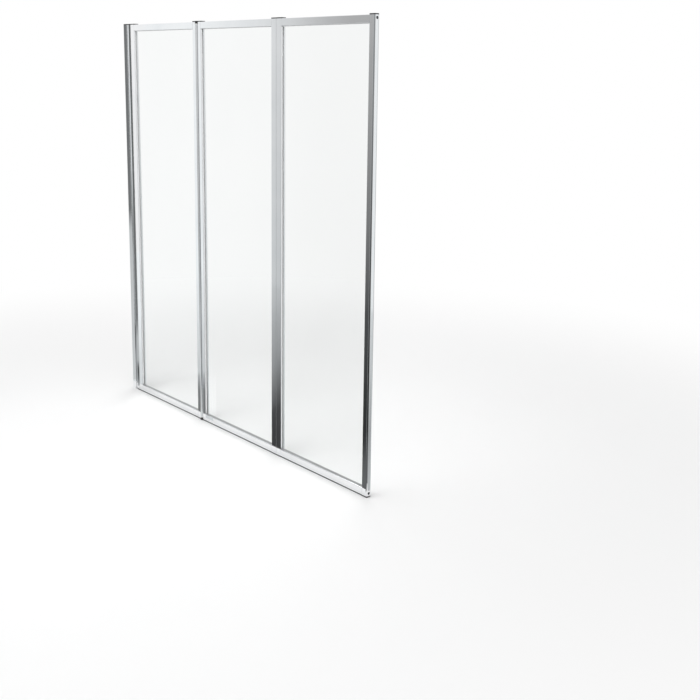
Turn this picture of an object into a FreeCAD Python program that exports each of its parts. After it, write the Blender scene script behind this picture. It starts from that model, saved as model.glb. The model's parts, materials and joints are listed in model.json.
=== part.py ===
import FreeCAD, Part
import math
import os

# Three-panel folding screen. X runs from the wall face to the free end, Y is through the glass, Z is up,
# and the origin is where the wall face meets the ledge that the screen stands on.

vec = FreeCAD.Vector
up = vec(0, 0, 1)

# Overall sizes, in millimetres
screen_width = 1300.0
screen_height = 1300.0
wall_side_width = 47.5
ledge_gap = 4.0
end_cap_thickness = 3.0
overrun = 5.0

# Panels, counted from the wall, and the side of each panel's own hinge barrel: 1 is +Y, -1 is -Y
panel_names = ["inner", "middle", "outer"]
barrel_sides = [1, -1, 1]

# Frame sections
frame_depth = 17.0
frame_wall = 1.6
frame_corner_radius = 0.8
hinge_stile_width = 23.5
free_stile_width = 20.0
free_corner_radius = 4.0
rail_height = 20.4
spigot_length = 4.0
spigot_clearance = 0.2
free_plug_clearance = 0.9

# Glazing
glass_thickness = 4.0
glass_hold = 7.0
groove_depth = 9.4
gasket_thickness = 2.0
gasket_floor = 2.0
gasket_clearance = 0.05

# Hinges
hinge_axis_offset = 0.5
barrel_diameter = 8.0
barrel_clearance = 0.5
barrel_cutback = 6.0
seam_width = 1.0
seam_seal_thickness = 0.7
seam_seal_width = 3.4
seam_seal_inset = 0.6
pin_diameter = 4.0
pin_length = 22.0
press_clearance = 0.02
bush_wall = 1.0
bush_length = 14.0
bush_flange = 0.8
running_clearance = 0.05
thrust_gap = 0.2

# Frame screws and their ports in the rails. Screws and the holes that are out of sight are eight-sided
hidden_sides = 8
frame_screw_diameter = 4.0
frame_screw_grip = 16.0
frame_head_diameter = 7.4
frame_head_height = 2.6
port_height = 7.8
port_clearance = 0.1
access_clearance = 0.2

# Wiper seal and its slot in the bottom rails
slot_mouth = 4.0
slot_lip = 1.6
slot_width = 7.0
slot_height = 2.8
seal_clearance = 0.2
fin_thickness = 1.1
fin_spread = 13.0
fin_root_drop = 0.5

# Wall channel and post
channel_width = 22.0
channel_wall = 1.5
post_clearance = 0.2
post_wall = 1.5
post_start = 7.0
post_head_width = 14.0
wall_hole_count = 4
wall_hole_diameter = 5.5
wall_hole_inset = 100.0
fixing_screw_x = 14.0
fixing_screw_count = 3
fixing_screw_inset = 150.0
fixing_screw_diameter = 3.8
fixing_screw_length = 9.5
fixing_head_diameter = 7.2
fixing_head_height = 2.0
cap_wall = 1.4
cap_clearance = 0.1

# Values that follow from them
half_depth = frame_depth / 2
seam_half = seam_width / 2
axis_out = half_depth + hinge_axis_offset
barrel_radius = barrel_diameter / 2
cove_radius = barrel_radius + barrel_clearance
pin_radius = pin_diameter / 2
bush_radius = pin_radius + running_clearance + bush_wall
groove_half = glass_thickness / 2 + gasket_thickness
panel_pitch = (screen_width - wall_side_width) / len(panel_names)
frame_bottom = ledge_gap
frame_top = screen_height - end_cap_thickness
frame_middle = (frame_bottom + frame_top) / 2
cap_bottom = frame_bottom - end_cap_thickness
pin_bottom = frame_bottom - end_cap_thickness / 2
barrel_bottom = frame_bottom + barrel_cutback
lug_top = barrel_bottom - bush_flange - thrust_gap
port_z = frame_bottom + port_height
port_radius = frame_screw_diameter / 2 + port_clearance
side_angle = 2 * math.pi / hidden_sides
corner_share = 1 / math.cos(side_angle / 2)


def in_plan(a, b):
    return vec(a, b, 0)


def in_cross(a, b):
    return vec(0, a, b)


# A closed face through corners (a, b, radius), each rounded by a tangent arc
def outline(corners, to_space=in_plan):
    ends = []
    for i, (a, b, radius) in enumerate(corners):
        corner = vec(a, b, 0)
        before = vec(*corners[i - 1][:2], 0) - corner
        after = vec(*corners[(i + 1) % len(corners)][:2], 0) - corner
        before.normalize()
        after.normalize()
        half_angle = before.getAngle(after) / 2
        middle = before + after
        if radius == 0 or middle.Length == 0:
            ends.append([corner])
            continue
        middle.normalize()
        tangent = radius / math.tan(half_angle)
        reach = radius / math.sin(half_angle) - radius
        ends.append([corner + before * tangent, corner + middle * reach, corner + after * tangent])
    edges = []
    for i, end in enumerate(ends):
        spots = [to_space(p.x, p.y) for p in end]
        if len(spots) > 1:
            edges.append(Part.Arc(*spots).toShape())
        following = ends[(i + 1) % len(ends)][0]
        edges.append(Part.LineSegment(spots[-1], to_space(following.x, following.y)).toShape())
    return Part.Face(Part.Wire(edges))


# A face in plan, drawn from an axis or an end at x0: direction is along X and side is along Y
def plan_outline(corners, x0, direction, side):
    return outline([(x0 + direction * u, side * v, radius) for u, v, radius in corners])


def rectangle(u0, v0, u1, v1, radius=0):
    return [(u0, v0, radius), (u1, v0, radius), (u1, v1, radius), (u0, v1, radius)]


def upright(face, bottom, top):
    solid = face.extrude(up * (top - bottom))
    solid.translate(up * bottom)
    return solid


def cylinder(x, y, radius, bottom, top):
    return Part.makeCylinder(radius, top - bottom, vec(x, y, bottom), up)


def drilled(x0, x1, z, radius):
    return Part.makeCylinder(radius, abs(x1 - x0), vec(min(x0, x1), 0, z), vec(1, 0, 0))


# A many-sided bar on base along direction, whose corners lie on a circle of the given radius
def sided_bar(base, direction, radius, length):
    angles = [side_angle * (i + 1 / 2) for i in range(hidden_sides)]
    corners = [(radius * math.cos(a), radius * math.sin(a), 0) for a in angles]
    solid = outline(corners).extrude(up * length)
    solid.Placement = FreeCAD.Placement(base, FreeCAD.Rotation(up, direction))
    return solid


# A hidden hole between x0 and x1, whose flats lie on a circle of the given radius
def hidden_hole(x0, x1, z, radius):
    base = vec(min(x0, x1), 0, z)
    return sided_bar(base, vec(1, 0, 0), radius * corner_share, abs(x1 - x0))


def top_twin(solid):
    return solid.mirror(vec(0, 0, frame_middle), up)


def both_ends(solid):
    return [solid, top_twin(solid)]


def save(name, solids):
    shape = Part.makeCompound([s for piece in solids for s in piece.Solids])
    shape.exportStep("parts/" + name + ".step")


# A pan-head screw whose head seats on base, with its shank along direction
def pan_screw(base, direction, head_diameter, head_height, shank_diameter, shank_length):
    top = base - direction * head_height
    head = sided_bar(top, direction, head_diameter / 2, head_height)
    shank = sided_bar(top, direction, shank_diameter / 2, head_height + shank_length)
    return head.fuse(shank).removeSplitter()


# The hollow inside an upright between its first face and its glazing groove, kept off the hinge barrel
def chamber(x0, direction, side, near, floor):
    bottom = frame_bottom - overrun
    top = frame_top + overrun
    edge = half_depth - frame_wall
    corners = rectangle(near + frame_wall, -edge, floor - frame_wall, edge)
    solid = upright(plan_outline(corners, x0, direction, side), bottom, top)
    room = cylinder(x0, side * axis_out, cove_radius + frame_wall, bottom - overrun, top + overrun)
    return solid.cut(room)


# The part of an end cap that plugs that hollow, on the side away from the barrel
def chamber_plug(x0, direction, side, near, floor):
    edge = frame_wall + spigot_clearance
    corners = rectangle(near + edge, edge - half_depth, floor - edge, axis_out - cove_radius - edge)
    return upright(plan_outline(corners, x0, direction, side), frame_bottom, frame_bottom + spigot_length)


# An upright's outer section with its glazing groove, from its first face near to its glass-side face far
def grooved_upright(x0, direction, side, near, far, near_radius):
    floor = far - groove_depth
    corners = [
        (near, -half_depth, near_radius),
        (far, -half_depth, frame_corner_radius),
        (far, -groove_half, 0),
        (floor, -groove_half, 0),
        (floor, groove_half, 0),
        (far, groove_half, 0),
        (far, half_depth, frame_corner_radius),
        (near, half_depth, near_radius),
    ]
    return upright(plan_outline(corners, x0, direction, side), frame_bottom, frame_top)


# Holes at both ends of an upright: a wide one that lets the screw head in, and a narrow one for its shank
def screw_holes(x0, direction, near, floor, wide_hole):
    seat = floor - frame_wall
    inside = (near + seat) / 2
    access = frame_head_diameter / 2 + access_clearance
    wide = wide_hole(x0 + direction * (near - overrun), x0 + direction * inside, port_z, access)
    narrow = hidden_hole(x0 + direction * inside, x0 + direction * (floor + overrun), port_z, port_radius)
    return both_ends(wide) + both_ends(narrow)


def frame_screws(x0, direction, far):
    floor = far - groove_depth
    base = vec(x0 + direction * (floor - frame_wall), 0, port_z)
    length = frame_wall + groove_depth + frame_screw_grip
    size = (frame_head_diameter, frame_head_height, frame_screw_diameter, length)
    return both_ends(pan_screw(base, vec(direction, 0, 0), *size))


# Room at both ends of a barrel for the lugs that turn there
def lug_room(x, side):
    return both_ends(cylinder(x, side * axis_out, cove_radius, cap_bottom - overrun, barrel_bottom))


# A barrel joined to a body that reaches behind it. Its eight-sided bore keeps the bushes from turning
def with_barrel(body, x, side):
    y = side * axis_out
    barrel = cylinder(x, y, barrel_radius, frame_bottom, frame_top)
    base = vec(x, y, frame_bottom - overrun)
    radius = (bush_radius + press_clearance) * corner_share
    bore = sided_bar(base, up, radius, frame_top + overrun - base.z)
    return body.fuse(barrel).cut([bore] + lug_room(x, side)).removeSplitter()


def hinge_stile(x, side):
    body = grooved_upright(x, 1, side, seam_half, hinge_stile_width, 0)
    floor = hinge_stile_width - groove_depth
    cove = cylinder(x, side * axis_out, cove_radius, frame_bottom - overrun, frame_top + overrun)
    hollow = chamber(x, 1, side, seam_half, floor)
    return body.cut([cove, hollow] + screw_holes(x, 1, seam_half, floor, hidden_hole))


def barrel_stile(x, side):
    body = grooved_upright(x, -1, side, seam_half, hinge_stile_width, 0)
    floor = hinge_stile_width - groove_depth
    hollow = chamber(x, -1, side, seam_half, floor)
    holes = screw_holes(x, -1, seam_half, floor, hidden_hole)
    return with_barrel(body.cut([hollow] + holes), x, side)


def free_stile(x):
    body = grooved_upright(x, -1, 1, 0, free_stile_width, free_corner_radius)
    floor = free_stile_width - groove_depth
    edge = half_depth - frame_wall
    inner_radius = free_corner_radius - frame_wall
    corners = rectangle(frame_wall, -edge, floor - frame_wall, edge, inner_radius)
    hollow = upright(plan_outline(corners, x, -1, 1), frame_bottom - overrun, frame_top + overrun)
    return body.cut([hollow] + screw_holes(x, -1, 0, floor, drilled))


# Rails are drawn as (y, height from their outer edge), and the top one is turned over
def rail(x0, x1, slotted):
    groove_floor = rail_height - groove_depth
    corners = [
        (-half_depth, 0, frame_corner_radius),
        (half_depth, 0, frame_corner_radius),
        (half_depth, rail_height, frame_corner_radius),
        (groove_half, rail_height, 0),
        (groove_half, groove_floor, 0),
        (-groove_half, groove_floor, 0),
        (-groove_half, rail_height, 0),
        (-half_depth, rail_height, frame_corner_radius),
    ]
    slot_top = slot_lip + slot_height
    hollow_bottom = slot_top + frame_wall if slotted else frame_wall
    web = port_radius + frame_wall
    cuts = [
        rectangle(web, hollow_bottom, half_depth - frame_wall, groove_floor - frame_wall),
        rectangle(-web, hollow_bottom, frame_wall - half_depth, groove_floor - frame_wall),
    ]
    if slotted:
        cuts.append(rectangle(-slot_mouth / 2, -overrun, slot_mouth / 2, slot_top))
        cuts.append(rectangle(-slot_width / 2, slot_lip, slot_width / 2, slot_top))
    along = vec(x1 - x0, 0, 0)
    solid = outline(corners, in_cross).extrude(along)
    solid = solid.cut([outline(cut, in_cross).extrude(along) for cut in cuts])
    solid = solid.cut(hidden_hole(0, x1 - x0, port_height, port_radius))
    solid.translate(vec(x0, 0, frame_bottom))
    return solid if slotted else top_twin(solid)


# Twin-fin wiper: a T that fills the slot, a neck, and two fins splayed down to the ledge
def bottom_seal(x0, x1):
    head = slot_width / 2 - seal_clearance
    neck = slot_mouth / 2 - seal_clearance
    head_bottom = slot_lip + seal_clearance
    head_top = slot_lip + slot_height - seal_clearance
    tip = fin_spread / 2
    right = [
        (neck, head_bottom, 0),
        (neck, -fin_root_drop, 0),
        (tip, -ledge_gap, 0),
        (tip - fin_thickness, -ledge_gap, 0),
        (neck - fin_thickness, -fin_root_drop - fin_thickness, 0),
    ]
    left = [(-y, z, radius) for y, z, radius in reversed(right)]
    corners = [(-head, head_top, 0), (head, head_top, 0), (head, head_bottom, 0)] + right
    corners += left + [(-head, head_bottom, 0)]
    solid = outline(corners, in_cross).extrude(vec(x1 - x0, 0, 0))
    solid.translate(vec(x0, 0, frame_bottom))
    return solid


def pane_box(x0, x1, grow, thickness):
    z0 = frame_bottom + rail_height - grow
    z1 = frame_top - rail_height + grow
    size = (x1 - x0 + grow * 2, thickness, z1 - z0)
    return Part.makeBox(*size, vec(x0 - grow, -thickness / 2, z0))


# The gasket is one U strip wrapped round the pane, flush with the frame's glass-side faces
def glazing_gasket(x0, x1, glass):
    width = glass_thickness + (gasket_thickness - gasket_clearance) * 2
    block = pane_box(x0, x1, glass_hold + gasket_floor, width)
    return block.cut([glass, pane_box(x0, x1, 0, width + overrun)])


# The hinge stile's bottom cap: a plate, a plug in the hollow, and the lug that holds the hinge pin
def bottom_hinge_cap(x, side):
    y = side * axis_out
    corners = rectangle(seam_half, -half_depth, hinge_stile_width, half_depth)
    plate = upright(plan_outline(corners, x, 1, side), cap_bottom, frame_bottom)
    lug = cylinder(x, y, barrel_radius, cap_bottom, lug_top)
    floor = hinge_stile_width - groove_depth
    plug = chamber_plug(x, 1, side, seam_half, floor)
    hole = cylinder(x, y, pin_radius + press_clearance, pin_bottom, lug_top + overrun)
    return plate.fuse([lug, plug]).cut(hole).removeSplitter()


def hinge_pin(x, side):
    return cylinder(x, side * axis_out, pin_radius, pin_bottom, pin_bottom + pin_length)


def hinge_bush(x, side):
    y = side * axis_out
    bottom = barrel_bottom - bush_flange
    top = barrel_bottom + bush_length
    flange = cylinder(x, y, barrel_radius, bottom, barrel_bottom)
    body = sided_bar(vec(x, y, bottom), up, bush_radius * corner_share, top - bottom)
    bore = cylinder(x, y, pin_radius + running_clearance, bottom - overrun, top + overrun)
    return flange.fuse(body).cut(bore).removeSplitter()


# Soft strip on the seam face of a hinge stile, along the side away from the barrel
def seam_seal(x, side):
    v0 = seam_seal_inset - half_depth
    corners = rectangle(seam_half - seam_seal_thickness, v0, seam_half, v0 + seam_seal_width)
    return upright(plan_outline(corners, x, 1, side), frame_bottom, frame_top)


def barrel_end_cap(x, side, near, far, floor):
    corners = rectangle(near, -half_depth, far, half_depth)
    plate = upright(plan_outline(corners, x, -1, side), cap_bottom, frame_bottom)
    plug = chamber_plug(x, -1, side, near, floor)
    return plate.fuse(plug).cut(lug_room(x, side)[0]).removeSplitter()


def free_end_cap(x):
    corners = rectangle(0, -half_depth, free_stile_width, half_depth)
    rounding = [free_corner_radius, 0, 0, free_corner_radius]
    corners = [(u, v, radius) for (u, v, _), radius in zip(corners, rounding)]
    plate = upright(plan_outline(corners, x, -1, 1), cap_bottom, frame_bottom)
    edge = frame_wall + free_plug_clearance
    inner = rectangle(edge, edge - half_depth, free_stile_width - groove_depth - edge, half_depth - edge)
    plug = upright(plan_outline(inner, x, -1, 1), frame_bottom, frame_bottom + spigot_length)
    return plate.fuse(plug).removeSplitter()


# Wall side
def even_heights(inset, count):
    span = screen_height - inset * 2
    return [inset + span * i / (count - 1) for i in range(count)]


fixing_heights = even_heights(fixing_screw_inset, fixing_screw_count)


# Holes for the fixing screws, on the +Y side
def fixing_holes():
    radius = (fixing_screw_diameter / 2 + port_clearance) * corner_share
    reach = half_depth + overrun
    return [sided_bar(vec(fixing_screw_x, 0, z), vec(0, 1, 0), radius, reach) for z in fixing_heights]


def wall_channel():
    inside = half_depth - channel_wall
    corners = [
        (0, -half_depth, 0),
        (channel_width, -half_depth, frame_corner_radius),
        (channel_width, -inside, 0),
        (channel_wall, -inside, 0),
        (channel_wall, inside, 0),
        (channel_width, inside, 0),
        (channel_width, half_depth, frame_corner_radius),
        (0, half_depth, 0),
    ]
    solid = upright(outline(corners), 0, frame_top)
    heights = even_heights(wall_hole_inset, wall_hole_count)
    holes = [drilled(-overrun, overrun, z, wall_hole_diameter / 2) for z in heights]
    return solid.cut(holes + fixing_holes())


post_leg_out = half_depth - channel_wall - post_clearance
post_leg_in = post_leg_out - post_wall
post_head_start = wall_side_width - seam_half - post_head_width
post_near = wall_side_width - post_head_start


def wall_post():
    x = wall_side_width
    side = barrel_sides[0]
    web = post_head_start - post_wall
    corners = [
        (post_start, -post_leg_out, 0),
        (post_head_start, -post_leg_out, 0),
        (post_head_start, -half_depth, frame_corner_radius),
        (x - seam_half, -half_depth, 0),
        (x - seam_half, half_depth, 0),
        (post_head_start, half_depth, frame_corner_radius),
        (post_head_start, post_leg_out, 0),
        (post_start, post_leg_out, 0),
        (post_start, post_leg_in, 0),
        (web, post_leg_in, 0),
        (web, -post_leg_in, 0),
        (post_start, -post_leg_in, 0),
    ]
    body = upright(outline(corners), frame_bottom, frame_top)
    hollow = chamber(x, -1, side, seam_half, post_near)
    return with_barrel(body.cut([hollow] + fixing_holes()), x, side)


# Closes the top of the channel and of the post's legs, with a plug between those legs
def channel_top_cap():
    end = post_head_start - spigot_clearance
    corners = [
        (0, -half_depth, 0),
        (channel_width, -half_depth, frame_corner_radius),
        (channel_width, -post_leg_out, 0),
        (end, -post_leg_out, 0),
        (end, post_leg_out, 0),
        (channel_width, post_leg_out, 0),
        (channel_width, half_depth, frame_corner_radius),
        (0, half_depth, 0),
    ]
    plate = upright(outline(corners), frame_top, screen_height)
    edge = post_leg_in - spigot_clearance
    plug_end = post_head_start - post_wall - spigot_clearance
    inside = outline(rectangle(post_start, -edge, plug_end, edge))
    plug = upright(inside, frame_top - spigot_length, frame_top)
    return plate.fuse(plug).removeSplitter()


def fixing_screw(z):
    base = vec(fixing_screw_x, half_depth, z)
    size = (fixing_head_diameter, fixing_head_height, fixing_screw_diameter, fixing_screw_length)
    return pan_screw(base, vec(0, -1, 0), *size)


# Snap cap: a round shell over a fixing screw's head, standing on the channel
def fixing_screw_cap(z):
    base = vec(fixing_screw_x, half_depth, z)
    outward = vec(0, 1, 0)
    room = (fixing_head_diameter / 2 + cap_clearance) * corner_share
    height = fixing_head_height + cap_clearance
    shell = Part.makeCylinder(room + cap_wall, height + cap_wall, base, outward)
    return shell.cut(sided_bar(base, outward, room, height))


def build_wall_side():
    x = wall_side_width
    side = barrel_sides[0]
    save("wall_channel", [wall_channel()])
    save("wall_post", [wall_post()])
    save("channel_top_cap", [channel_top_cap()])
    save("channel_fixing_screws", [fixing_screw(z) for z in fixing_heights])
    save("fixing_screw_caps", [fixing_screw_cap(z) for z in fixing_heights])
    save("post_end_caps", both_ends(barrel_end_cap(x, side, seam_half, post_near, post_near)))
    save("post_hinge_bushes", both_ends(hinge_bush(x, side)))


def build_panel(index):
    name = panel_names[index] + "_"
    side = barrel_sides[index]
    x = wall_side_width + panel_pitch * index
    x_end = x + panel_pitch
    last = index == len(panel_names) - 1
    end_width = free_stile_width if last else hinge_stile_width
    pane_x0 = x + hinge_stile_width
    pane_x1 = x_end - end_width
    glass = pane_box(pane_x0, pane_x1, glass_hold, glass_thickness)
    cap = bottom_hinge_cap(x, side)
    screws = frame_screws(x, 1, hinge_stile_width) + frame_screws(x_end, -1, end_width)

    save(name + "hinge_stile", [hinge_stile(x, side)])
    save(name + "bottom_rail", [rail(pane_x0, pane_x1, True)])
    save(name + "top_rail", [rail(pane_x0, pane_x1, False)])
    save(name + "glass", [glass])
    save(name + "glazing_gasket", [glazing_gasket(pane_x0, pane_x1, glass)])
    save(name + "frame_screws", screws)
    save(name + "bottom_seal", [bottom_seal(pane_x0, pane_x1)])
    save(name + "bottom_hinge_cap", [cap])
    save(name + "top_hinge_cap", [top_twin(cap)])
    save(name + "hinge_pins", both_ends(hinge_pin(x, side)))
    save(name + "seam_seal", [seam_seal(x, side)])
    if last:
        save(name + "free_stile", [free_stile(x_end)])
        save(name + "end_caps", both_ends(free_end_cap(x_end)))
        return
    next_side = barrel_sides[index + 1]
    floor = hinge_stile_width - groove_depth
    end_cap = barrel_end_cap(x_end, next_side, seam_half, hinge_stile_width, floor)
    save(name + "barrel_stile", [barrel_stile(x_end, next_side)])
    save(name + "end_caps", both_ends(end_cap))
    save(name + "hinge_bushes", both_ends(hinge_bush(x_end, next_side)))


os.makedirs("parts", exist_ok=True)
build_wall_side()
for index in range(len(panel_names)):
    build_panel(index)
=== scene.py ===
import json
import math

import bpy
import numpy as np
from mathutils import Matrix, Vector


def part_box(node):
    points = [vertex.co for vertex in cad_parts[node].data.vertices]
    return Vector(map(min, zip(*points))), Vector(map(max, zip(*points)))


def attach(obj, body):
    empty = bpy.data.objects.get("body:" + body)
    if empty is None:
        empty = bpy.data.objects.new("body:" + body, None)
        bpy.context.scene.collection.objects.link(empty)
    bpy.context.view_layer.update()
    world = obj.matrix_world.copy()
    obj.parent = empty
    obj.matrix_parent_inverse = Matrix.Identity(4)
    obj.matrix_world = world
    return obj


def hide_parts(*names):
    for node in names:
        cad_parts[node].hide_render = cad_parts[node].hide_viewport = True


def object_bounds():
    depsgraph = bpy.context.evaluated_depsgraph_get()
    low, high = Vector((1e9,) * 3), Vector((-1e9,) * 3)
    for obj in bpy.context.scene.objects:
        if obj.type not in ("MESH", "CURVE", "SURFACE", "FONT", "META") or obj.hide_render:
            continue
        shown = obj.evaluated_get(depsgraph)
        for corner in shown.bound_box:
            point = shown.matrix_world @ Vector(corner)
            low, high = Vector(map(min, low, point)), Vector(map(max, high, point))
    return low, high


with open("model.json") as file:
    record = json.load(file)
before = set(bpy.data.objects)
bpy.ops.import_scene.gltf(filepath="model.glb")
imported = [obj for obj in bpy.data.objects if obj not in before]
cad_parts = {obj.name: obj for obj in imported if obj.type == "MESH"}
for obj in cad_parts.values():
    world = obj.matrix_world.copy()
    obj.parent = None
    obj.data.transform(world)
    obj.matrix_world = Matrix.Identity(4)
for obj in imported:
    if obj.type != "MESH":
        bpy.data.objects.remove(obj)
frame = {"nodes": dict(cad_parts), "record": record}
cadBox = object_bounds()
nodes = frame["nodes"]
panels = ("inner", "middle", "outer")
print("frame loaded:", len(nodes), "nodes")

# lengths in the piece dictionaries are millimetres, as on the drawing
mm = 0.001


def edges(node):
    low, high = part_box(node)
    return np.array(low) / mm, np.array(high) / mm


# the faces of a grid of points (rows x columns), closed along the rows, the columns or both. Its first and
# last column can be covered by a single face each, and so can its first and last row
def gridFaces(rows, columns, closeRows=False, closeColumns=False, coverRows=False, coverColumns=False):
    index = np.arange(rows * columns).reshape(rows, columns)
    covers = []
    if coverRows:
        covers += [index[0][::-1], index[-1]]
    if coverColumns:
        covers += [index[:, 0], index[::-1, -1]]
    if closeRows:
        index = np.vstack([index, index[:1]])
    if closeColumns:
        index = np.hstack([index, index[:, :1]])
    quads = np.stack([index[:-1, :-1], index[:-1, 1:], index[1:, 1:], index[1:, :-1]], axis=-1)
    return quads.reshape(-1, 4), covers


# one mesh from grids of the same shape, stacked in an array (grids x rows x columns x 3)
def gridMesh(name, grids, **closing):
    count, rows, columns = grids.shape[:3]
    quads, covers = gridFaces(rows, columns, **closing)
    starts = np.arange(count) * rows * columns
    faces = (starts[:, None, None] + quads).reshape(-1, 4).tolist()
    for cover in covers:
        faces += (starts[:, None] + cover).tolist()
    mesh = bpy.data.meshes.new(name)
    mesh.from_pydata((grids.reshape(-1, 3) * mm).tolist(), [], faces)
    mesh.validate()
    return mesh


def addPiece(name, mesh, body, material, replaced, sharpAngle=35):
    mesh.polygons.foreach_set("use_smooth", np.ones(len(mesh.polygons), dtype=bool))
    mesh.set_sharp_from_angle(angle=math.radians(sharpAngle))
    mesh.materials.append(material)
    piece = bpy.data.objects.new(name, mesh)
    bpy.context.scene.collection.objects.link(piece)
    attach(piece, body)
    for node in replaced:
        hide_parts(node)


# materials: every pattern is laid out on object coordinates, in metres


class Finish:
    def __init__(self, name):
        self.material = bpy.data.materials.new(name)
        self.material.use_nodes = True
        self.tree = self.material.node_tree
        self.shader = self.tree.nodes["Principled BSDF"]
        self.place = self.add("ShaderNodeTexCoord").outputs["Object"]

    def add(self, kind):
        return self.tree.nodes.new(kind)

    def link(self, source, target):
        self.tree.links.new(source, target)

    def set(self, **values):
        for key, value in values.items():
            self.shader.inputs[key.replace("_", " ")].default_value = value

    # noise stretched by a scale for each axis, in cycles a metre
    def noise(self, scale, detail, roughness=0.55):
        mapping = self.add("ShaderNodeMapping")
        mapping.inputs["Scale"].default_value = scale
        self.link(self.place, mapping.inputs["Vector"])
        noise = self.add("ShaderNodeTexNoise")
        noise.inputs["Scale"].default_value = 1.0
        noise.inputs["Detail"].default_value = detail
        noise.inputs["Roughness"].default_value = roughness
        self.link(mapping.outputs["Vector"], noise.inputs["Vector"])
        return noise.outputs["Fac"]

    # a value spread between low and high over the middle of the noise
    def spread(self, source, low, high, start=0.3, stop=0.7):
        node = self.add("ShaderNodeMapRange")
        node.inputs["From Min"].default_value = start
        node.inputs["From Max"].default_value = stop
        node.inputs["To Min"].default_value = low
        node.inputs["To Max"].default_value = high
        self.link(source, node.inputs["Value"])
        return node.outputs["Result"]

    def tint(self, source, first, second, start=0.3, stop=0.7):
        ramp = self.add("ShaderNodeValToRGB")
        ramp.color_ramp.elements[0].position = start
        ramp.color_ramp.elements[0].color = (*first, 1)
        ramp.color_ramp.elements[1].position = stop
        ramp.color_ramp.elements[1].color = (*second, 1)
        self.link(source, ramp.inputs["Fac"])
        self.link(ramp.outputs["Color"], self.shader.inputs["Base Color"])

    # painted shade: the colour so far stays below the first height as painted shade, and turns into the
    # lighter unshaded one between two heights
    def paintedShadeBelow(self, unshaded, start, stop):
        height = self.add("ShaderNodeSeparateXYZ")
        self.link(self.place, height.inputs["Vector"])
        share = self.spread(height.outputs["Z"], 0.0, 1.0, start, stop)
        mix = self.add("ShaderNodeMixRGB")
        self.link(share, mix.inputs["Fac"])
        self.link(self.shader.inputs["Base Color"].links[0].from_socket, mix.inputs["Color1"])
        mix.inputs["Color2"].default_value = (*unshaded, 1)
        self.link(mix.outputs["Color"], self.shader.inputs["Base Color"])

    def roughen(self, source, low, high):
        self.link(self.spread(source, low, high), self.shader.inputs["Roughness"])

    def bump(self, source, depth):
        node = self.add("ShaderNodeBump")
        node.inputs["Distance"].default_value = depth
        self.link(source, node.inputs["Height"])
        self.link(node.outputs["Normal"], self.shader.inputs["Normal"])


# octaves of the noise under each kind of pattern
octaves = {"lines": 2.0, "cloud": 4.0, "tint": 2.0, "film": 5.0, "wave": 0.0, "grain": 2.0}
polish = {"pale": (0.88, 0.885, 0.895), "deep": (0.82, 0.83, 0.845), "smooth": 0.04, "drawn": 0.09,
          "linesAcross": 1400.0, "linesAlong": 5.0, "cloud": 7.0, "waviness": 0.000004}


# bright polished aluminium: fine drawn lines along the section and a faint clouding left by the polishing mop
def polishedMetal(name, along):
    finish = Finish(name)
    scale = [polish["linesAcross"]] * 3
    scale["xyz".index(along)] = polish["linesAlong"]
    lines = finish.noise(scale, octaves["lines"])
    cloud = finish.noise([polish["cloud"]] * 3, octaves["cloud"])
    finish.set(Metallic=1.0)
    finish.tint(cloud, polish["deep"], polish["pale"])
    finish.roughen(lines, polish["smooth"], polish["drawn"])
    finish.bump(lines, polish["waviness"])
    return finish.material


pane = {"tint": (0.932, 0.942, 0.939), "tintThin": (0.945, 0.954, 0.951), "wave": (2.0, 2.0, 9.0),
        "waveDepth": 0.00002, "film": (30.0, 30.0, 12.0), "filmRough": 0.006, "cloud": 3.0}


# clear toughened glass: a faint roller wave across the sheet, and a film left by wiping
def clearGlass(name):
    finish = Finish(name)
    finish.set(Transmission_Weight=1.0, IOR=1.5)
    film = finish.noise(pane["film"], octaves["film"])
    finish.tint(finish.noise([pane["cloud"]] * 3, octaves["tint"]), pane["tint"], pane["tintThin"])
    finish.roughen(film, 0.0, pane["filmRough"])
    finish.bump(finish.noise(pane["wave"], octaves["wave"]), pane["waveDepth"])
    return finish.material


# moulded or extruded plastics and rubbers: two close tones, a grain in the roughness and a fine relief
def plainMoulding(name, look):
    finish = Finish(name)
    finish.tint(finish.noise([look["cloud"]] * 3, octaves["cloud"]), look["deep"], look["pale"])
    grain = finish.noise(look["grain"], octaves["grain"])
    finish.roughen(grain, *look["rough"])
    finish.bump(grain, look["relief"])
    # painted shade: a look with an unshaded tone keeps its own darker tones low down and turns lighter upwards
    if "unshaded" in look:
        finish.paintedShadeBelow(look["unshaded"], look["shadeFadeFrom"], look["shadeFadeTo"])
    return finish.material


# steel or a bright plating: close tones, with the grain of turning, grinding or polishing in its roughness
def plainSteel(name, look):
    material = plainMoulding(name, look)
    material.node_tree.nodes["Principled BSDF"].inputs["Metallic"].default_value = 1.0
    return material


# the glazing rubber keeps its darker tones at the bottom rail as painted shade, and turns to the lighter tone
# above
gasketRubber = plainMoulding("glazing rubber", {
    "deep": (0.36, 0.365, 0.37), "pale": (0.42, 0.425, 0.43), "cloud": 40.0,
    "grain": (1800.0, 1800.0, 1800.0), "rough": (0.42, 0.6), "relief": 0.00002,
    "unshaded": (0.66, 0.665, 0.67), "shadeFadeFrom": 0.03, "shadeFadeTo": 0.3})
blackNylon = plainMoulding("black nylon", {
    "deep": (0.010, 0.010, 0.011), "pale": (0.024, 0.024, 0.026), "cloud": 60.0,
    "grain": (2600.0, 2600.0, 2600.0), "rough": (0.3, 0.5), "relief": 0.00003})
wiperVinyl = plainMoulding("wiper vinyl", {
    "deep": (0.030, 0.033, 0.035), "pale": (0.060, 0.064, 0.067), "cloud": 25.0,
    "grain": (20.0, 1500.0, 1500.0), "rough": (0.3, 0.45), "relief": 0.000015})
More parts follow.
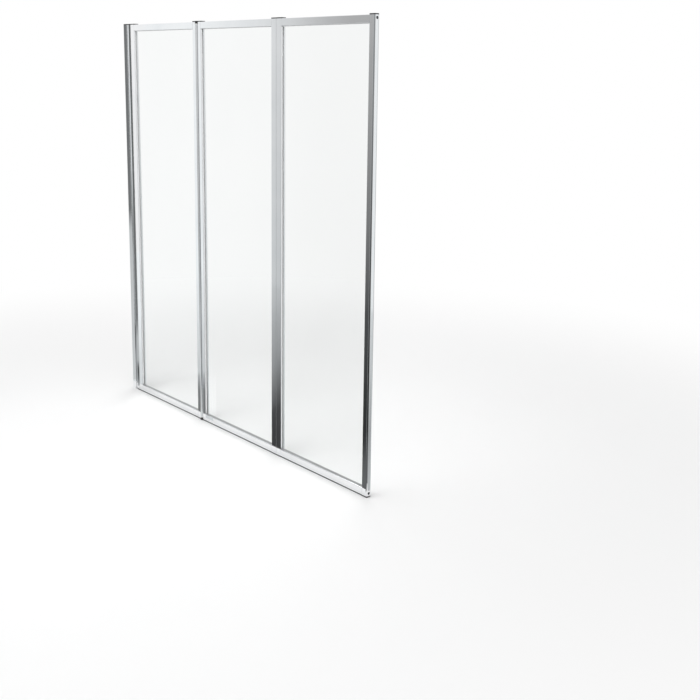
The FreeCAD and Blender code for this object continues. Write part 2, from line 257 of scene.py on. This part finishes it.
seamVinyl = plainMoulding("seam vinyl", {
    "deep": (0.42, 0.43, 0.43), "pale": (0.52, 0.53, 0.53), "cloud": 25.0,
    "grain": (1500.0, 1500.0, 20.0), "rough": (0.3, 0.45), "relief": 0.000015})
bushNylon = plainMoulding("bush nylon", {
    "deep": (0.70, 0.69, 0.64), "pale": (0.80, 0.79, 0.75), "cloud": 90.0,
    "grain": (1500.0, 1500.0, 1500.0), "rough": (0.4, 0.55), "relief": 0.00001})
platedCap = plainSteel("plated cap", {
    "deep": (0.72, 0.73, 0.745), "pale": (0.80, 0.805, 0.815), "cloud": 60.0,
    "grain": (900.0, 900.0, 900.0), "rough": (0.06, 0.13), "relief": 0.000003})
screwSteel = plainSteel("screw steel", {
    "deep": (0.42, 0.42, 0.44), "pale": (0.60, 0.60, 0.62), "cloud": 300.0,
    "grain": (1600.0, 1600.0, 1600.0), "rough": (0.22, 0.4), "relief": 0.00001})
pinSteel = plainSteel("pin steel", {
    "deep": (0.55, 0.55, 0.57), "pale": (0.68, 0.68, 0.70), "cloud": 200.0,
    "grain": (300.0, 300.0, 4000.0), "rough": (0.15, 0.3), "relief": 0.000005})
uprightMetal = polishedMetal("polished upright", "z")
railMetal = polishedMetal("polished rail", "x")
glassSheet = clearGlass("clear glass")

finishes = {"_stile": uprightMetal, "_channel": uprightMetal, "_post": uprightMetal, "_rail": railMetal,
            "_glass": glassSheet, "_gasket": gasketRubber, "_bottom_seal": wiperVinyl,
            "_seam_seal": seamVinyl, "_screws": screwSteel, "_pins": pinSteel, "_bushes": bushNylon,
            "screw_caps": platedCap, "_hinge_cap": blackNylon, "_end_caps": blackNylon,
            "_top_cap": blackNylon}
for node, thing in nodes.items():
    material = next(m for ending, m in finishes.items() if node.endswith(ending))
    thing.data.materials.clear()
    thing.data.materials.append(material)
    if node.endswith("_glass"):
        thing.visible_shadow = False  # the clear panes let the studio light through to the floor
print("finishes laid on:", len(finishes))

# glazing gasket
gasket = {"hold": 9.0, "floor": 7.0, "lipOnStile": 0.35, "lipOnRail": 1.8, "lipPower": 0.7, "lipSteps": 11,
          "glassGap": 0.03}


# the strip's section carried round the four mitred corners of the pane: it runs out from the daylight
# opening, and each lip between the frame and the glass is half a sine wave to the power lipPower, taller on
# the rails than on the stiles
def gasketRing(panel):
    low, high = edges(panel + "_glazing_gasket")
    half = edges(panel + "_glass")[1][1] + gasket["glassGap"]
    outer = high[1]
    t = np.linspace(0, 1, gasket["lipSteps"])
    swell = np.sin(np.pi * t) ** gasket["lipPower"]
    lipY = outer + (half - outer) * t
    y = np.concatenate([[outer], lipY, [half, -half], -lipY[::-1], [-outer]])
    depth = np.concatenate([[gasket["hold"]], 0 * t, [gasket["floor"]] * 2, 0 * t, [gasket["hold"]]])
    lip = np.concatenate([[0], swell, [0, 0], swell[::-1], [0]])
    outOnStile, outOnRail = depth - gasket["lipOnStile"] * lip, depth - gasket["lipOnRail"] * lip
    cornerX = np.array([low[0], high[0], high[0], low[0]]) + gasket["hold"] * np.array([1, -1, -1, 1])
    cornerZ = np.array([low[2], low[2], high[2], high[2]]) + gasket["hold"] * np.array([1, 1, -1, -1])
    outX, outZ = np.array([-1, 1, 1, -1]), np.array([-1, -1, 1, 1])
    points = np.stack([cornerX[:, None] + outX[:, None] * outOnStile, np.broadcast_to(y, (4, len(y))),
                       cornerZ[:, None] + outZ[:, None] * outOnRail], axis=-1)
    return gridMesh(panel + "GasketRing", points[None], closeRows=True, closeColumns=True)


for panel in panels:
    addPiece(panel + "GasketRing", gasketRing(panel), panel + "_panel", gasketRubber,
             [panel + "_glazing_gasket"])
print("gaskets made")

# bottom wiper
wiper = {"head": 3.3, "headDepth": 2.4, "neck": 1.8, "root": 3.5, "fin": 0.9, "droop": 1.5, "finSteps": 11,
         "inset": 0.3}


# one closed section carried along the rail: a T head, a neck and two fins that leave the neck level and drop
# as their spread to the power droop. A fin's inner side lies fin further in, and lower by fin at the neck
def wiperStrip(panel):
    low, high = edges(panel + "_bottom_seal")
    head, neck, tip, top = wiper["head"], wiper["neck"], high[1], high[2]
    under = top - wiper["headDepth"]
    t = np.linspace(0, 1, wiper["finSteps"])
    outY = neck + (tip - neck) * t
    outZ = low[2] + wiper["root"] * (1 - t ** wiper["droop"])
    inY, inZ = outY - wiper["fin"], outZ - wiper["fin"] * (1 - t)
    y = np.concatenate([[head, head, neck], outY, inY[::-1]])
    z = np.concatenate([[top, under, under], outZ, inZ[::-1]])
    y, z = np.concatenate([-y, y[::-1]]), np.concatenate([z, z[::-1]])
    x = np.array([low[0], high[0]]) + wiper["inset"] * np.array([1, -1])
    points = np.stack([np.broadcast_to(x[:, None], (2, len(y))), np.broadcast_to(y, (2, len(y))),
                       np.broadcast_to(z, (2, len(z)))], axis=-1)
    return gridMesh(panel + "Wiper", points[None], closeColumns=True, coverRows=True)


for panel in panels:
    addPiece(panel + "Wiper", wiperStrip(panel), panel + "_panel", wiperVinyl,
             [panel + "_bottom_seal"])
print("wipers made")

# seam seal
seam = {"steps": 13}


# a bead carried up the seam: its section is half an ellipse that stands on the stile's face
def seamBead(panel):
    low, high = edges(panel + "_seam_seal")
    t = np.linspace(0, np.pi, seam["steps"])
    x = high[0] - (high[0] - low[0]) * np.sin(t)
    y = (low[1] + high[1]) / 2 + (high[1] - low[1]) / 2 * np.cos(t)
    z = np.array([low[2], high[2]])
    points = np.stack([np.broadcast_to(x, (2, len(x))), np.broadcast_to(y, (2, len(y))),
                       np.broadcast_to(z[:, None], (2, len(x)))], axis=-1)
    return gridMesh(panel + "SeamBead", points[None], closeColumns=True, coverRows=True)


for panel in panels:
    addPiece(panel + "SeamBead", seamBead(panel), panel + "_panel", seamVinyl,
             [panel + "_seam_seal"])
print("seam seals made")

# screws
frameScrew = {"head": 3.7, "height": 2.6, "shank": 2.0, "length": 27.0, "slot": 0.55, "reach": 2.3,
              "depth": 1.5}
fixingScrew = {"head": 3.6, "height": 2.0, "shank": 1.9, "length": 9.5, "slot": 0.5, "reach": 2.1,
               "depth": 1.2, "count": 3}
turning = {"around": 64, "domeSteps": 12, "pole": 0.03, "domeDrop": 0.45, "domePower": 2.4,
           "slotSpread": 1.35, "slotSlope": 0.5, "slotEnd": 0.4,
           "pitch": 1.4, "threadSteps": 90, "threadDepth": 0.14, "tip": 0.05}
# the drawn screws are eight-sided, so their boxes end at the flats
flats = math.cos(math.pi / 8)


# a turned screw on (angle, station): the head's height falls off as a power of the radius, and a cross is
# sunk where either of the two slot axes is near. The shank's radius ripples as the cosine of its distance
# down in pitches plus the angle, which makes a right-handed thread, and tapers over the tip
def screwShape(size):
    angle = np.linspace(0, 2 * np.pi, turning["around"], endpoint=False)[:, None]
    out = np.linspace(turning["pole"], 1, turning["domeSteps"])
    crown = size["height"] * (1 - turning["domeDrop"] * out ** turning["domePower"])
    down = np.linspace(0, 1, turning["threadSteps"]) * size["length"]
    ripple = 0.5 + 0.5 * np.cos(2 * np.pi * down / turning["pitch"] + angle)
    taper = np.minimum(1, (size["length"] - down) / size["shank"] + turning["tip"])
    headR = size["head"] * np.broadcast_to(np.append(out, 1), (turning["around"], turning["domeSteps"] + 1))
    radius = np.hstack([headR, size["shank"] * (1 - turning["threadDepth"] * ripple) * taper])
    height = np.concatenate([crown, [0.0], -down])
    a, b = radius * np.cos(angle), radius * np.sin(angle)
    cross = np.minimum(np.abs(a), np.abs(b)) / size["slot"]
    sunk = np.clip((turning["slotSpread"] - cross) / turning["slotSlope"], 0, 1)
    sunk = sunk * np.clip((size["reach"] - radius) / turning["slotEnd"], 0, 1)
    sunk = sunk * (np.arange(len(height)) < turning["domeSteps"])
    return np.stack([a, b, height - size["depth"] * sunk], axis=-1)


# turned shapes set with their axes along one direction from each seat
def setOut(shape, seats, axes):
    turns = np.array([Vector((0, 0, 1)).rotation_difference(Vector(axis)).to_matrix() for axis in axes])
    return np.einsum("ijk,nlk->nijl", shape, turns) + np.array(seats)[:, None, None, :]


def turnedSet(name, shape, seats, axes):
    return gridMesh(name, setOut(shape, seats, axes), closeRows=True, coverColumns=True)


for panel in panels:
    low, high = edges(panel + "_frame_screws")
    halfHead = frameScrew["head"] * flats
    seats = [(x, 0, z) for x in (low[0] + frameScrew["height"], high[0] - frameScrew["height"])
             for z in (low[2] + halfHead, high[2] - halfHead)]
    axes = [(-1, 0, 0)] * 2 + [(1, 0, 0)] * 2
    addPiece(panel + "FrameScrews", turnedSet(panel + "FrameScrews", screwShape(frameScrew), seats, axes),
             panel + "_panel", screwSteel, [panel + "_frame_screws"])
low, high = edges("channel_fixing_screws")
halfHead = fixingScrew["head"] * flats
screwX, capSeat = (low[0] + high[0]) / 2, edges("wall_channel")[1][1]
screwZ = np.linspace(low[2] + halfHead, high[2] - halfHead, fixingScrew["count"])
seats = [(screwX, capSeat, z) for z in screwZ]
axes = [(0, 1, 0)] * len(seats)
addPiece("fixingScrews", turnedSet("fixingScrews", screwShape(fixingScrew), seats, axes), "wall_side",
         screwSteel, ["channel_fixing_screws"])
print("screws made")

# snap caps over the fixing screws
snapCap = {"steps": 12, "edge": 1.1, "crown": 0.35, "skin": 1.1, "hollow": 2.2, "pole": 0.05, "around": 72}


# a turned shell: the ceiling and side of its hollow, then outside a quarter round of radius edge that runs
# into a shallow crown, which falls as the radius squared
def capShape():
    low, high = edges("fixing_screw_caps")
    radius, height = (high[0] - low[0]) / 2, high[1] - low[1]
    t = np.linspace(0, np.pi / 2, snapCap["steps"])
    edgeR = radius - snapCap["edge"] + snapCap["edge"] * np.cos(t)
    edgeH = height - snapCap["crown"] - snapCap["edge"] + snapCap["edge"] * np.sin(t)
    crownR = np.linspace(radius - snapCap["edge"], snapCap["pole"], snapCap["steps"])[1:]
    crownH = height - snapCap["crown"] * (crownR / (radius - snapCap["edge"])) ** 2
    inside = radius - snapCap["skin"]
    r = np.concatenate([[snapCap["pole"], inside, inside, radius], edgeR, crownR])[::-1]
    h = np.concatenate([[snapCap["hollow"], snapCap["hollow"], 0, 0], edgeH, crownH])[::-1]
    angle = np.linspace(0, 2 * np.pi, snapCap["around"], endpoint=False)[:, None]
    across, along = r * np.cos(angle), r * np.sin(angle)
    return np.stack([across, along, np.broadcast_to(h, across.shape)], axis=-1)


addPiece("snapCaps", turnedSet("snapCaps", capShape(), seats, axes), "wall_side", platedCap,
         ["fixing_screw_caps"])
print("snap caps made")

# studio
studio = {"floorTone": (0.91, 0.91, 0.91), "fadeStart": 0.85, "fadeEnd": 2.6, "floorReach": 30.0,
          "fill": 0.55, "aimHeight": 0.5}
middle = (0.65, 0.0)


def stageMesh(name, corners, faces, material):
    mesh = bpy.data.meshes.new(name)
    mesh.from_pydata(corners, [], faces)
    mesh.materials.append(material)
    thing = bpy.data.objects.new(name, mesh)
    bpy.context.scene.collection.objects.link(thing)
    return thing


def emptyTree(name):
    material = bpy.data.materials.new(name)
    material.use_nodes = True
    tree = material.node_tree
    tree.nodes.clear()
    return material, tree


# 1 for rays that show the background: seen directly, in metal or through glass
def showingRays(tree):
    path = tree.nodes.new("ShaderNodeLightPath")
    total = path.outputs["Is Camera Ray"]
    for ray in ("Is Glossy Ray", "Is Transmission Ray"):
        most = tree.nodes.new("ShaderNodeMath")
        most.operation = "MAXIMUM"
        tree.links.new(total, most.inputs[0])
        tree.links.new(path.outputs[ray], most.inputs[1])
        total = most.outputs[0]
    return total


# the floor is pale and takes the shadow near the screen, and runs out to plain white
def floorMaterial():
    material, tree = emptyTree("pale floor")
    new, link = tree.nodes.new, tree.links.new
    place = new("ShaderNodeTexCoord")
    away = new("ShaderNodeVectorMath")
    away.operation = "DISTANCE"
    away.inputs[1].default_value = (*middle, 0)
    link(place.outputs["Object"], away.inputs[0])
    fade = new("ShaderNodeMapRange")
    fade.interpolation_type = "SMOOTHSTEP"
    fade.inputs["From Min"].default_value = studio["fadeStart"]
    fade.inputs["From Max"].default_value = studio["fadeEnd"]
    link(away.outputs["Value"], fade.inputs["Value"])
    share = new("ShaderNodeMath")
    share.operation = "MULTIPLY"
    link(fade.outputs["Result"], share.inputs[0])
    link(showingRays(tree), share.inputs[1])
    matt = new("ShaderNodeBsdfDiffuse")
    matt.inputs["Color"].default_value = (*studio["floorTone"], 1)
    white = new("ShaderNodeEmission")
    mix = new("ShaderNodeMixShader")
    link(share.outputs[0], mix.inputs[0])
    link(matt.outputs[0], mix.inputs[1])
    link(white.outputs[0], mix.inputs[2])
    link(mix.outputs[0], new("ShaderNodeOutputMaterial").inputs["Surface"])
    return material


reach = studio["floorReach"]
stageMesh("floor", [(-reach, -reach, 0), (reach, -reach, 0), (reach, reach, 0), (-reach, reach, 0)],
          [(0, 1, 2, 3)], floorMaterial())

# grey cards that show only in reflections. Their tones, from 0 to 1, are chosen for what the frame
# reflects, and places are in metres
cards = {"near": 0.045, "far": 1.5, "left": -2.5, "right": 5.0, "high": 2.6, "lift": 0.002, "whiteAt": 3.33,
         "hue": (0.97, 1.005, 1.015)}
diagonal, outwards, forwards, upwards = (1, -1, 0), (1, 0, 0), (0, -1, 0), (0, 0, 1)
# tone along the diagonal of the floor, from the channel out past the free end, on the mat and on the sheet
diagonalTones = [(-0.4, 1.0), (0.0, 0.85), (0.3, 0.64), (0.45, 0.53), (0.67, 0.34), (0.81, 0.055),
                 (0.95, 0.045), (1.1, 0.09), (1.2, 0.05), (1.24, 0.03), (1.29, 0.055), (1.38, 0.45),
                 (1.8, 0.6)]
sheetTones = [(-0.4, 1.0), (0.0, 0.85), (0.3, 0.68), (0.45, 0.58), (0.67, 0.34), (0.95, 0.09), (1.2, 0.09),
              (1.5, 0.45), (2.5, 0.60), (2.9, 0.2), (4.2, 0.2), (5.0, 0.8)]
# tone of the front mat beyond the free end, and close to the screen by distance from the channel's back
cornerTones = [(1.2, 0.05), (1.5, 0.3), (2.2, 0.6), (4.5, 0.8)]
closeTones = [(-0.02, 0.80), (0.03, 0.32), (0.2, 0.22), (0.42, 0.2), (0.52, 0.08), (0.7, 0.06),
              (0.9, 0.055), (1.1, 0.115), (1.2, 0.14), (1.3, 0.13), (1.8, 0.3)]
# the rear mat is pale close to the screen
paleTones = [(0.0, 0.92), (1.3, 0.92)]
# each overlay is mixed in between two values across, and its tones run along
overlays = {"front": [{"across": outwards, "ends": (1.08, 1.18), "along": diagonal, "tones": cornerTones},
                      {"across": forwards, "ends": (0.36, 0.18), "along": outwards, "tones": closeTones}],
            "rear": [{"across": forwards, "ends": (1.5, 0.25), "along": outwards, "tones": paleTones}]}


# from 0 to 1 between two values of a weighted sum of the coordinates. Side -1 reads them turned half round
# about the middle
def shareAlong(tree, place, weights, ends, side=1):
    along = tree.nodes.new("ShaderNodeVectorMath")
    along.operation = "DOT_PRODUCT"
    along.inputs[1].default_value = (side * weights[0], side * weights[1], weights[2])
    tree.links.new(place, along.inputs[0])
    share = tree.nodes.new("ShaderNodeMapRange")
    offset = (1 - side) * middle[0] * weights[0]
    share.inputs["From Min"].default_value = ends[0] - offset
    share.inputs["From Max"].default_value = ends[1] - offset
    tree.links.new(along.outputs["Value"], share.inputs["Value"])
    return share.outputs["Result"]


# a colour that follows a weighted sum of the coordinates as the list of tones says
def toneRamp(tree, place, weights, tones, side):
    first, last = tones[0][0], tones[-1][0]
    ramp = tree.nodes.new("ShaderNodeValToRGB")
    while len(ramp.color_ramp.elements) < len(tones):
        ramp.color_ramp.elements.new(1.0)
    for stop, (value, tone) in zip(ramp.color_ramp.elements, tones):
        stop.position = (value - first) / (last - first)
        stop.color = (*[tone * h for h in cards["hue"]], 1)
    tree.links.new(shareAlong(tree, place, weights, (first, last), side), ramp.inputs["Fac"])
    return ramp.outputs["Color"]


def whiteMix(tree, share, color):
    mix = tree.nodes.new("ShaderNodeMixRGB")
    mix.inputs["Color2"].default_value = (1, 1, 1, 1)
    tree.links.new(share, mix.inputs["Fac"])
    tree.links.new(color, mix.inputs["Color1"])
    return mix


# a glowing sheet: side is 1 in front and -1 for its twin behind. Over its tones it may carry layers of others,
# and it may turn white upwards, or clear between two heights
def cardMaterial(name, tones, weights, side=1, layers=(), whiteAt=None, clearing=None):
    material, tree = emptyTree(name)
    place = tree.nodes.new("ShaderNodeTexCoord").outputs["Object"]
    color = toneRamp(tree, place, weights, tones, side)
    for layer in layers:
        mix = whiteMix(tree, shareAlong(tree, place, layer["across"], layer["ends"], side), color)
        tree.links.new(toneRamp(tree, place, layer["along"], layer["tones"], side), mix.inputs["Color2"])
        color = mix.outputs["Color"]
    if whiteAt:
        color = whiteMix(tree, shareAlong(tree, place, upwards, (0.0, whiteAt)), color).outputs["Color"]
    glow = tree.nodes.new("ShaderNodeEmission")
    tree.links.new(color, glow.inputs["Color"])
    surface = glow.outputs[0]
    if clearing:
        clear = tree.nodes.new("ShaderNodeMixShader")
        tree.links.new(shareAlong(tree, place, upwards, clearing), clear.inputs["Fac"])
        tree.links.new(surface, clear.inputs[1])
        tree.links.new(tree.nodes.new("ShaderNodeBsdfTransparent").outputs[0], clear.inputs[2])
        surface = clear.outputs[0]
    tree.links.new(surface, tree.nodes.new("ShaderNodeOutputMaterial").inputs["Surface"])
    return material


def addCard(name, corners, faces, material):
    card = stageMesh(name, np.asarray(corners).tolist(), faces, material)
    card.visible_camera = False
    card.visible_diffuse = False
    card.visible_transmission = False
    card.visible_shadow = False


# a mat and an upright sheet in front, and the same behind
for place, side in (("front", 1), ("rear", -1)):
    left, right, near, far = cards["left"], cards["right"], -cards["near"], -cards["far"]
    low, high = cards["lift"], cards["high"]
    corners = np.array([(left, near, low), (right, near, low), (right, far, low), (left, far, low),
                        (left, far, high), (right, far, high)])
    corners = corners * (side, side, 1) + ((1 - side) * middle[0], 0, 0)
    addCard(place + "Mat", corners[:4], [(0, 1, 2, 3)],
            cardMaterial(place + "Mat", diagonalTones, diagonal, side, overlays[place]))
    addCard(place + "Sheet", corners[2:], [(0, 1, 2, 3)],
            cardMaterial(place + "Sheet", sheetTones, diagonal, side, whiteAt=cards["whiteAt"]))

# a card on the floor beyond the free end, wider the further out, with its tones by distance from the channel
beyond = {"left": 1.33, "right": 3.4, "near": 0.02, "farLeft": 0.17, "farRight": 1.87, "lift": 0.003,
          "tones": [(1.3, 0.55), (1.45, 0.50), (1.72, 0.38), (2.2, 0.60), (3.0, 0.75), (3.4, 0.9)]}
ends = [("left", "near"), ("right", "near"), ("right", "farRight"), ("left", "farLeft")]
corners = [(beyond[x], beyond[y], beyond["lift"]) for x, y in ends]
addCard("beyondCard", corners, [(0, 1, 2, 3)], cardMaterial("beyondCard", beyond["tones"], outwards))

# upright strips close to the metal: each is a line of (x, y) points carried up between two heights, with its
# tones by height
# they glow and show only in reflections: painted reflections of shade on the channel, the post and the free
# corner, and a painted reflection of light in the first barrel
behindChannel = -0.003
stripTop = 1.32
firstFold = frame["record"]["behaviour"]["joints"][1]["pos_m"][0]
freeEnd = cadBox[1][0]
strips = {
    "channelShade": {
        "line": [(behindChannel, -0.0088), (behindChannel, -0.0220)], "heights": (0.028, stripTop),
        "tones": [(0.0, 0.66), (0.58, 0.58), (0.66, 0.19), (1.3, 0.2)]},
    "legShade": {
        "line": [(behindChannel, -0.0222), (behindChannel, -0.0262)], "heights": (0.012, stripTop),
        "tones": [(0.0, 0.45), (0.14, 0.42), (0.22, 0.22), (0.6, 0.25), (0.82, 0.9), (1.3, 1.0)]},
    "headShade": {
        "line": [(behindChannel, -0.0279), (behindChannel, -0.0361)], "heights": (0.0, stripTop),
        "tones": [(0.0, 0.5), (0.025, 0.2), (0.05, 0.1), (0.07, 0.12), (0.1, 0.5), (0.18, 0.55), (0.26, 0.19),
                  (0.5, 0.15), (1.3, 0.15)]},
    "cornerShade": {
        "line": [(freeEnd - 0.065, -0.11), (freeEnd + 0.1, -0.11), (freeEnd + 0.1, 0.02)],
        "heights": (0.0, stripTop),
        "tones": [(0.0, 0.13), (0.1, 0.11), (0.16, 0.03), (0.35, 0.03), (0.5, 0.07), (0.8, 0.15),
                  (1.3, 0.34)]},
    "barrelGlow": {
        "line": [(firstFold - 0.01, -0.03), (firstFold + 0.035, -0.03)], "heights": (0.0, 0.36),
        "tones": [(0.0, 0.75), (0.36, 0.75)], "clearing": (0.2, 0.36)},
}
for name, strip in strips.items():
    count = len(strip["line"])
    corners = [(x, y, z) for z in strip["heights"] for x, y in strip["line"]]
    faces = [(i, i + 1, i + 1 + count, i + count) for i in range(count - 1)]
    addCard(name, corners, faces, cardMaterial(name, strip["tones"], upwards, clearing=strip.get("clearing")))

world = bpy.data.worlds.new("studio")
bpy.context.scene.world = world
world.use_nodes = True
tree = world.node_tree
background = tree.nodes["Background"]
background.inputs["Color"].default_value = (1, 1, 1, 1)
level = tree.nodes.new("ShaderNodeMapRange")
level.inputs["To Min"].default_value = studio["fill"]
level.inputs["To Max"].default_value = 1.0
tree.links.new(showingRays(tree), level.inputs["Value"])
tree.links.new(level.outputs["Result"], background.inputs["Strength"])

lamps = {"overhead": {"at": (1.2, -1.2, 3.4), "size": 2.6, "power": 68},
         "side": {"at": (-1.6, 2.4, 2.6), "size": 2.0, "power": 30}}
for name, lamp in lamps.items():
    light = bpy.data.lights.new(name, "AREA")
    light.size = lamp["size"]
    light.energy = lamp["power"]
    thing = bpy.data.objects.new(name, light)
    bpy.context.scene.collection.objects.link(thing)
    thing.location = lamp["at"]
    aim = Vector((*middle, studio["aimHeight"])) - Vector(lamp["at"])
    thing.rotation_euler = aim.to_track_quat("-Z", "Y").to_euler()
    thing.visible_glossy = False
    thing.visible_camera = False
print("studio set")

# camera, solved from the photograph's vanishing points and then fitted to the lines of the frame
shot = {"at": (3.3376, -1.8188, 1.1649), "azimuth": 49.505, "down": 11.095, "roll": 0.78, "lens": 54.08,
        "sensor": 36, "shiftY": -0.1093}
azimuth, down, roll = (math.radians(shot[k]) for k in ("azimuth", "down", "roll"))
forward = Vector((-math.sin(azimuth) * math.cos(down), math.cos(azimuth) * math.cos(down), -math.sin(down)))
levelRight = Vector((math.cos(azimuth), math.sin(azimuth), 0))
levelUp = levelRight.cross(forward)
right = levelRight * math.cos(roll) + levelUp * math.sin(roll)
upward = right.cross(forward)
camera = bpy.data.objects.new("camera", bpy.data.cameras.new("camera"))
bpy.context.scene.collection.objects.link(camera)
camera.matrix_world = Matrix.Translation(shot["at"]) @ Matrix((right, upward, -forward)).transposed().to_4x4()
camera.data.lens = shot["lens"]
camera.data.sensor_width = shot["sensor"]
camera.data.shift_y = shot["shiftY"]
bpy.context.scene.camera = camera
bpy.context.scene.view_settings.view_transform = "Standard"
print("camera set")
